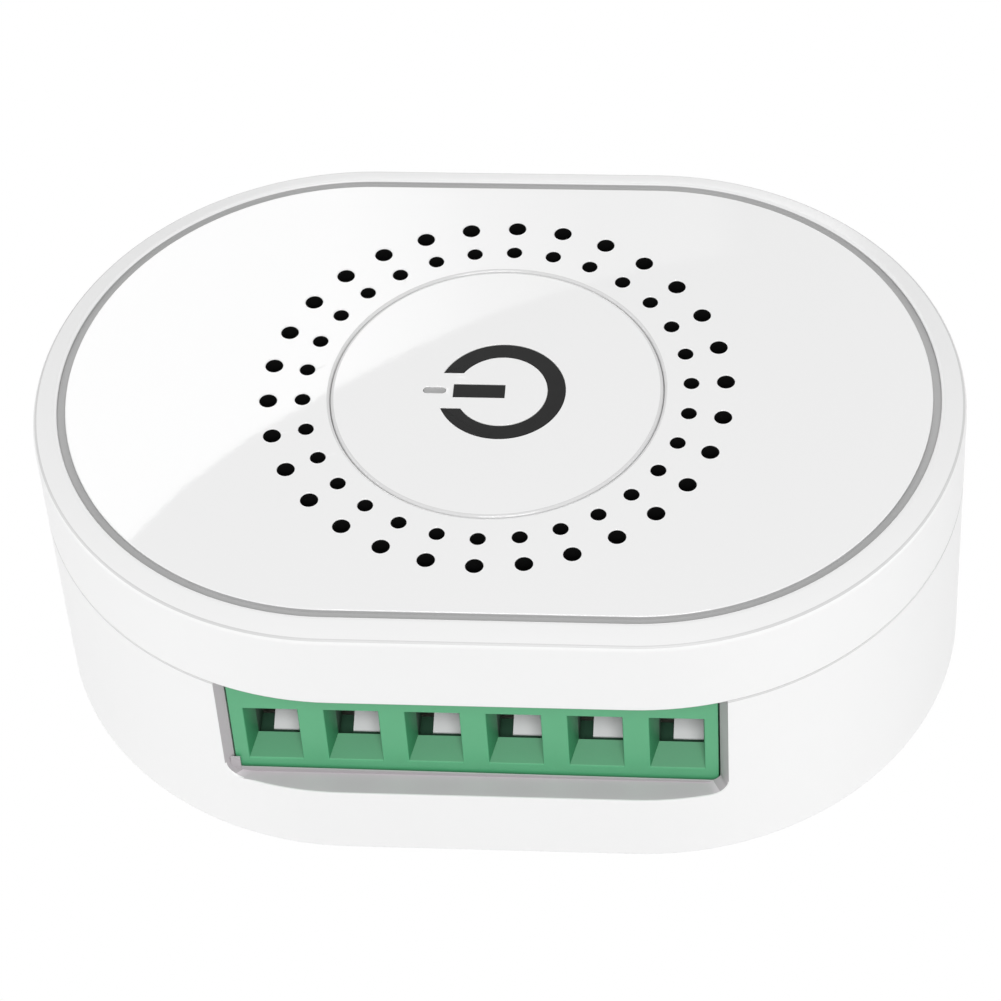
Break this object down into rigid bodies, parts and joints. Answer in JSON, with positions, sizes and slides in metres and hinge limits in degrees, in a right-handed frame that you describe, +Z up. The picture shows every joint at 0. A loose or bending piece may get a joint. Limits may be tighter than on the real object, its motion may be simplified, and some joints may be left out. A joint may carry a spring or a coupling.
{
  "type": "ceiling fan switch module",
  "caption": "Compact in-box relay module for a ceiling fan and light: oval white case, round push button, ring of vents and a green screw terminal block.",
  "frame": {"origin": "middle of the flat base", "axes": "+X along the length, -Y out of the wire entries, +Z up through the button"},
  "size_m": [0.0584, 0.0402, 0.021],
  "materials": {
    "case_white": "satin moulded case",
    "gloss_white": "polished plate and button",
    "label_white": "matt paper-like film",
    "symbol_black": "gloss inlay",
    "light_pipe": "milky clear moulding",
    "moulding_black": "matt moulding compound",
    "sheet_steel": "thin rolled sheet",
    "led_body": "clear resin on white base",
    "relay_blue": "thin moulded cover",
    "copper_wire": "enamelled copper wire",
    "tinned_metal": "tin-plated copper alloy",
    "film_yellow": "box of a film capacitor",
    "can_sleeve": "shrink sleeve over an aluminium can",
    "varistor_blue": "dipped resin",
    "resistor_grey": "cement coat",
    "ferrite": "sintered ferrite",
    "ceramic": "fired ceramic",
    "board_green": "solder mask over glass laminate",
    "screw_steel": "zinc-plated steel",
    "cage_nickel": "nickel-plated brass",
    "terminal_green": "moulded polyamide"
  },
  "bodies": {
    "case": {"blank_label": "label_white", "board_screws": "screw_steel", "bottom_shell": "case_white", "bridge_rectifier": "moulding_black", "bulk_capacitor": "can_sleeve", "chip_parts": "ceramic", "face_plate": "gloss_white", "fan_relay_base": "moulding_black", "fan_relay_coil": "copper_wire", "fan_relay_cover": "relay_blue", "fan_relay_pins": "tinned_metal", "fan_triac": "moulding_black", "film_capacitor": "film_yellow", "filter_capacitor": "can_sleeve", "fuse_resistor": "resistor_grey", "inductor_core": "ferrite", "inductor_winding": "copper_wire", "light_relay_base": "moulding_black", "light_relay_coil": "copper_wire", "light_relay_cover": "relay_blue", "light_relay_pins": "tinned_metal", "main_board": "board_green", "optocouplers": "moulding_black", "radio_aerial": "ceramic", "radio_board": "board_green", "radio_headers": "moulding_black", "radio_shield": "sheet_steel", "status_led": "led_body", "supply_chip": "moulding_black", "tact_dome": "sheet_steel", "tact_switch_body": "moulding_black", "tact_switch_cover": "sheet_steel", "terminal_block_housing": "terminal_green", "terminal_contacts": "tinned_metal", "top_cover": "case_white", "triac_tab": "tinned_metal", "varistor": "varistor_blue"},
    "button": {"button_cap": "gloss_white", "button_symbol": "symbol_black", "light_pipe": "light_pipe", "tact_plunger": "moulding_black"},
    "light_armature": {"light_relay_armature": "sheet_steel"},
    "fan_armature": {"fan_relay_armature": "sheet_steel"},
    "screw_1": {"terminal_screw_1": "screw_steel"},
    "cage_1": {"clamp_cage_1": "cage_nickel"},
    "screw_2": {"terminal_screw_2": "screw_steel"},
    "cage_2": {"clamp_cage_2": "cage_nickel"},
    "screw_3": {"terminal_screw_3": "screw_steel"},
    "cage_3": {"clamp_cage_3": "cage_nickel"},
    "screw_4": {"terminal_screw_4": "screw_steel"},
    "cage_4": {"clamp_cage_4": "cage_nickel"},
    "screw_5": {"terminal_screw_5": "screw_steel"},
    "cage_5": {"clamp_cage_5": "cage_nickel"},
    "screw_6": {"terminal_screw_6": "screw_steel"},
    "cage_6": {"clamp_cage_6": "cage_nickel"}
  },
  "joints": [
    {"name": "button_press", "type": "slide", "parent": "case", "child": "button", "axis": [0, 0, -1], "range_m": [0, 0.0003], "stiffness_N_per_m": 2000, "springref_m": -0.0001, "deforming": ["tact_dome"]},
    {"name": "light_armature_swing", "type": "hinge", "parent": "case", "child": "light_armature", "pos_m": [-0.0189, -0.0058, 0.0063], "axis": [0, -1, 0], "range_deg": [0, 3], "stiffness_Nm_per_rad": 0.05},
    {"name": "fan_armature_swing", "type": "hinge", "parent": "case", "child": "fan_armature", "pos_m": [0.0027, -0.0058, 0.0063], "axis": [0, -1, 0], "range_deg": [0, 3], "stiffness_Nm_per_rad": 0.05},
    {"name": "screw_1_turn", "type": "hinge", "parent": "case", "child": "screw_1", "pos_m": [-0.0132, -0.0132, 0.0019], "axis": [0, 0, 1], "range_deg": [0, 2161]},
    {"name": "cage_1_clamp", "type": "slide", "parent": "case", "child": "cage_1", "axis": [0, 0, -1], "range_m": [0, 0.0027]},
    {"name": "screw_2_turn", "type": "hinge", "parent": "case", "child": "screw_2", "pos_m": [-0.0082, -0.0132, 0.0019], "axis": [0, 0, 1], "range_deg": [0, 2161]},
    {"name": "cage_2_clamp", "type": "slide", "parent": "case", "child": "cage_2", "axis": [0, 0, -1], "range_m": [0, 0.0027]},
    {"name": "screw_3_turn", "type": "hinge", "parent": "case", "child": "screw_3", "pos_m": [-0.0032, -0.0132, 0.0019], "axis": [0, 0, 1], "range_deg": [0, 2161]},
    {"name": "cage_3_clamp", "type": "slide", "parent": "case", "child": "cage_3", "axis": [0, 0, -1], "range_m": [0, 0.0027]},
    {"name": "screw_4_turn", "type": "hinge", "parent": "case", "child": "screw_4", "pos_m": [0.0018, -0.0132, 0.0019], "axis": [0, 0, 1], "range_deg": [0, 2161]},
    {"name": "cage_4_clamp", "type": "slide", "parent": "case", "child": "cage_4", "axis": [0, 0, -1], "range_m": [0, 0.0027]},
    {"name": "screw_5_turn", "type": "hinge", "parent": "case", "child": "screw_5", "pos_m": [0.0068, -0.0132, 0.0019], "axis": [0, 0, 1], "range_deg": [0, 2161]},
    {"name": "cage_5_clamp", "type": "slide", "parent": "case", "child": "cage_5", "axis": [0, 0, -1], "range_m": [0, 0.0027]},
    {"name": "screw_6_turn", "type": "hinge", "parent": "case", "child": "screw_6", "pos_m": [0.0118, -0.0132, 0.0019], "axis": [0, 0, 1], "range_deg": [0, 2161]},
    {"name": "cage_6_clamp", "type": "slide", "parent": "case", "child": "cage_6", "axis": [0, 0, -1], "range_m": [0, 0.0027]}
  ],
  "couplings": [
    {"joint": "screw_1_turn", "follows": "cage_1_clamp", "rad_per_m": 13963},
    {"joint": "screw_2_turn", "follows": "cage_2_clamp", "rad_per_m": 13963},
    {"joint": "screw_3_turn", "follows": "cage_3_clamp", "rad_per_m": 13963},
    {"joint": "screw_4_turn", "follows": "cage_4_clamp", "rad_per_m": 13963},
    {"joint": "screw_5_turn", "follows": "cage_5_clamp", "rad_per_m": 13963},
    {"joint": "screw_6_turn", "follows": "cage_6_clamp", "rad_per_m": 13963}
  ]
}
